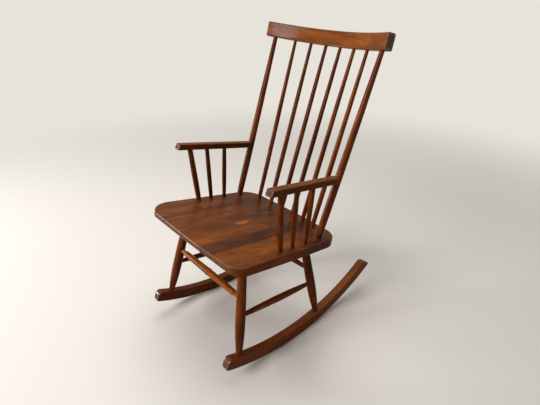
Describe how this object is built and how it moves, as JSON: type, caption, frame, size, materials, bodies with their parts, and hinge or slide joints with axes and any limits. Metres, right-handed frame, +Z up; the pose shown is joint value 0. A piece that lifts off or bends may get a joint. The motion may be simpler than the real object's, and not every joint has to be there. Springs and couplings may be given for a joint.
{
  "type": "rod-back rocking chair",
  "caption": "Wooden rocking chair with a bent crest rail over tapered back spindles, a plank seat, bar arms on turned spindles and splayed legs on two rockers.",
  "frame": {"origin": "middle of the chair's footprint box, on the floor, with the chair at rest on its rockers", "axes": "+X to the sitter's left, +Y to the back of the chair, +Z up"},
  "size_m": [0.5514, 0.7584, 1.0322],
  "materials": {
    "seat_wood": "dark cherry stain under satin varnish, glued-up boards running front to back",
    "turned_wood": "dark cherry stain under satin varnish, grain along the turning",
    "bar_wood": "dark cherry stain under satin varnish, grain along the bar",
    "rocker_wood": "darker cherry stain under satin varnish, grain along the rocker",
    "steel": "plain zinc-plated wood screw"
  },
  "bodies": {
    "root": {"back_spindle_1": "turned_wood", "back_spindle_2": "turned_wood", "back_spindle_3": "turned_wood", "back_spindle_4": "turned_wood", "back_spindle_5": "turned_wood", "back_spindle_6": "turned_wood", "crest_rail": "bar_wood", "front_left_leg": "turned_wood", "front_right_leg": "turned_wood", "front_stretcher": "turned_wood", "left_arm": "bar_wood", "left_arm_plug": "turned_wood", "left_arm_screw": "steel", "left_arm_spindle_1": "turned_wood", "left_arm_spindle_2": "turned_wood", "left_arm_spindle_3": "turned_wood", "left_back_post": "turned_wood", "left_rocker": "rocker_wood", "left_side_stretcher": "turned_wood", "rear_left_leg": "turned_wood", "rear_right_leg": "turned_wood", "rear_stretcher": "turned_wood", "right_arm": "bar_wood", "right_arm_plug": "turned_wood", "right_arm_screw": "steel", "right_arm_spindle_1": "turned_wood", "right_arm_spindle_2": "turned_wood", "right_arm_spindle_3": "turned_wood", "right_back_post": "turned_wood", "right_rocker": "rocker_wood", "right_side_stretcher": "turned_wood", "seat": "seat_wood"}
  },
  "joints": []
}
